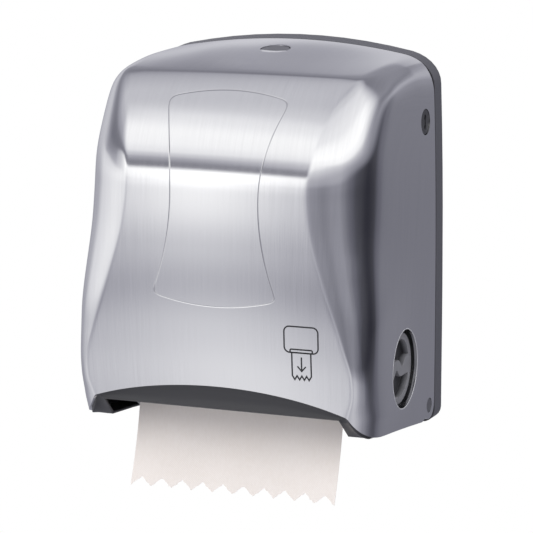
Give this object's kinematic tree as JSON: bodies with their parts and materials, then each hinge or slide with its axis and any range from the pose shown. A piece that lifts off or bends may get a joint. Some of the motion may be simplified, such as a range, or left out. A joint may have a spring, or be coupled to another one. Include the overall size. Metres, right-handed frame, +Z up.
{
  "type": "roll towel dispenser",
  "caption": "Wall-mounted paper towel dispenser: silver hinged cover with arched mouth over a feed drum with inner knife, side feed knob, key lock and hanging towel.",
  "frame": {"origin": "centre of the four wall screw holes, on the wall plane", "axes": "+X to the user's right, +Y into the wall, +Z up"},
  "size_m": [0.2922, 0.2178, 0.4106],
  "materials": {
    "silver_cover": "brushed silver, vertical grain",
    "dark_plastic": "fine satin grey",
    "inner_plastic": "moulded grey",
    "white_plastic": "acetal white",
    "steel": "bright steel",
    "spring_steel": "spring wire",
    "rubber": "matt black",
    "towel": "embossed towelling",
    "roll": "wound towelling",
    "core": "brown board"
  },
  "bodies": {
    "chassis": {"rear_housing": "dark_plastic", "hinge_pins": "dark_plastic", "right_frame": "inner_plastic", "left_frame": "inner_plastic", "tie_rods": "steel", "frame_screws": "steel", "drum_guard": "inner_plastic", "drum_bushes": "white_plastic", "pinch_springs": "spring_steel", "right_arm": "inner_plastic", "right_hub": "white_plastic", "arm_pin": "steel", "arm_bracket": "inner_plastic", "paper_web": "towel", "towel_sheet": "towel", "return_spring": "spring_steel"},
    "cover": {"front_cover": "silver_cover", "throat_bezel": "dark_plastic", "latch_guide": "inner_plastic", "lock_clip": "inner_plastic", "button_spring": "spring_steel"},
    "release": {"release_button": "dark_plastic"},
    "key_lock": {"lock_barrel": "dark_plastic", "lock_cam": "steel"},
    "drum": {"feed_drum": "inner_plastic", "grip_bands": "rubber", "drum_axle": "steel", "feed_knob": "dark_plastic", "crank_disc": "inner_plastic"},
    "knife": {"knife_carrier": "inner_plastic", "knife_blade": "steel", "blade_screws": "steel"},
    "pinch_roller": {"pinch_shaft": "steel", "pinch_sleeves": "rubber"},
    "towel_roll": {"paper_roll": "roll", "roll_core": "core"},
    "swing_arm": {"left_arm": "inner_plastic", "left_hub": "white_plastic"}
  },
  "joints": [
    {"name": "cover_hinge", "type": "hinge", "parent": "chassis", "child": "cover", "pos_m": [0, -0.0343, -0.162], "axis": [1, 0, 0], "range_deg": [0, 95]},
    {"name": "release_push", "type": "slide", "parent": "cover", "child": "release", "axis": [0, 0, -1], "range_m": [0, 0.0045], "stiffness_N_per_m": 900, "springref_m": -0.0015, "deforming": ["button_spring"]},
    {"name": "lock_turn", "type": "hinge", "parent": "cover", "child": "key_lock", "pos_m": [0.14, -0.0455, 0.11], "axis": [1, 0, 0], "range_deg": [0, 90]},
    {"name": "roll_spin", "type": "hinge", "parent": "chassis", "child": "towel_roll", "pos_m": [0, -0.102, 0.045], "axis": [1, 0, 0], "continuous": true},
    {"name": "drum_spin", "type": "hinge", "parent": "chassis", "child": "drum", "pos_m": [0, -0.1055, -0.1115], "axis": [1, 0, 0], "continuous": true, "deforming": ["return_spring", "towel_sheet", "paper_web"]},
    {"name": "pinch_spin", "type": "hinge", "parent": "chassis", "child": "pinch_roller", "pos_m": [0, -0.14439, -0.07261], "axis": [1, 0, 0], "continuous": true},
    {"name": "knife_swing", "type": "hinge", "parent": "drum", "child": "knife", "pos_m": [0, -0.11282, -0.08418], "axis": [1, 0, 0], "range_deg": [0, 36], "stiffness_Nm_per_rad": 0.4, "springref_deg": -28.65},
    {"name": "arm_swing", "type": "hinge", "parent": "chassis", "child": "swing_arm", "pos_m": [-0.11, -0.012, 0.045], "axis": [0, 0, -1], "range_deg": [0, 9], "stiffness_Nm_per_rad": 1.5, "springref_deg": -2.86}
  ],
  "couplings": [
    {"joint": "drum_spin", "follows": "roll_spin", "ratio": -2.0674},
    {"joint": "pinch_spin", "follows": "roll_spin", "ratio": 9.2}
  ]
}
